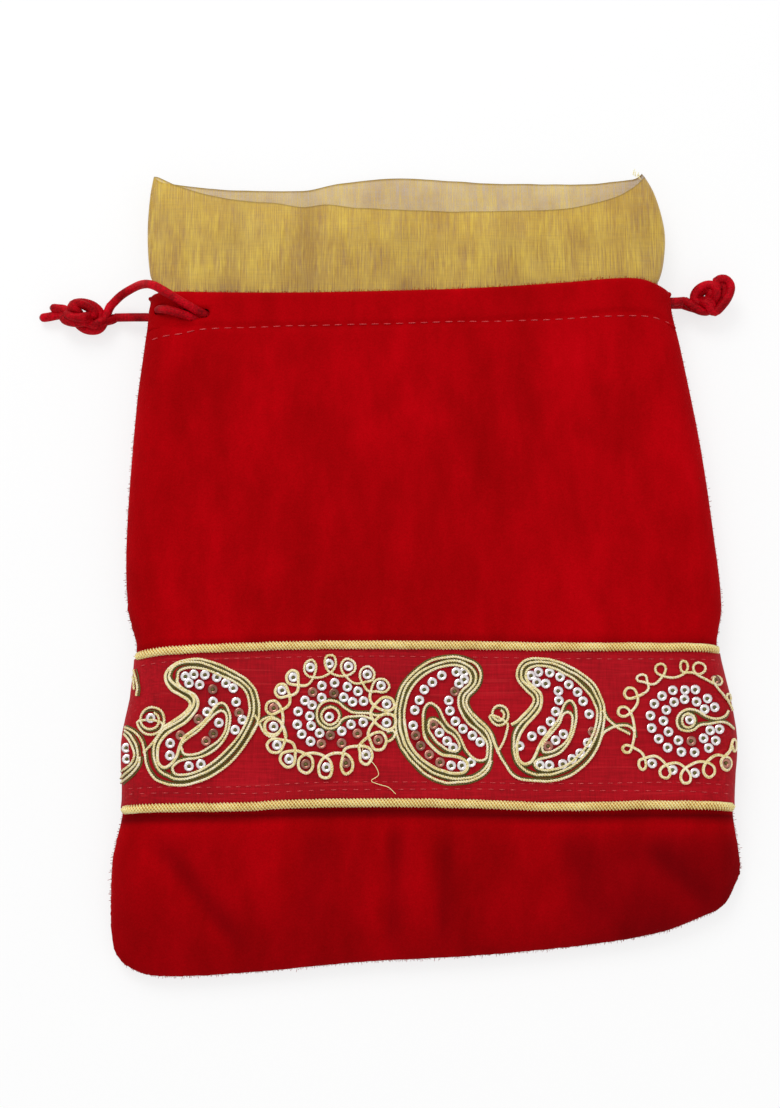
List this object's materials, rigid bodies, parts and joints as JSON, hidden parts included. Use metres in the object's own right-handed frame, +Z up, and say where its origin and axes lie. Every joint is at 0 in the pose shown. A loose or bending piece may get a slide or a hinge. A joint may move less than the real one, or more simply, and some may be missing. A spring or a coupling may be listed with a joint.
{
  "type": "drawstring pouch",
  "caption": "Flat velvet drawstring pouch with an organza collar, an embroidered ribbon between gold braids round its lower half, and a knotted cord at each side.",
  "frame": {"origin": "under the middle of the bag's bounding box, measured without the cords, on the surface that it lies on", "axes": "+X across the bag to the right as its front is seen, +Y towards the mouth, +Z up out of the front"},
  "size_m": [0.2107, 0.2394, 0.0194],
  "materials": {
    "velvet": "deep red velvet with a short pile",
    "organza": "see-through gold organza with fine ribs",
    "silk": "red raw silk with slubs",
    "zari": "couched pale gold metallic cord",
    "braid": "twisted gold braid, half matt",
    "cord": "red satin cord"
  },
  "bodies": {
    "root": {"front_panel": "velvet", "back_panel": "velvet", "organza_collar": "organza", "front_ribbon": "silk", "back_ribbon": "silk", "front_left_paisley": "zari", "front_middle_paisley": "zari", "front_right_paisley": "zari", "front_left_rosette": "zari", "front_right_rosette": "zari", "front_left_curl": "zari", "front_right_curl": "zari", "front_edge_paisley": "zari", "back_left_paisley": "zari", "back_middle_paisley": "zari", "back_right_paisley": "zari", "back_left_rosette": "zari", "back_right_rosette": "zari", "back_left_curl": "zari", "back_right_curl": "zari", "back_edge_paisley": "zari", "front_upper_braid": "braid", "front_lower_braid": "braid", "back_upper_braid": "braid", "back_lower_braid": "braid", "left_drawstring": "cord", "right_drawstring": "cord", "left_knot": "cord", "right_knot": "cord"}
  },
  "joints": []
}
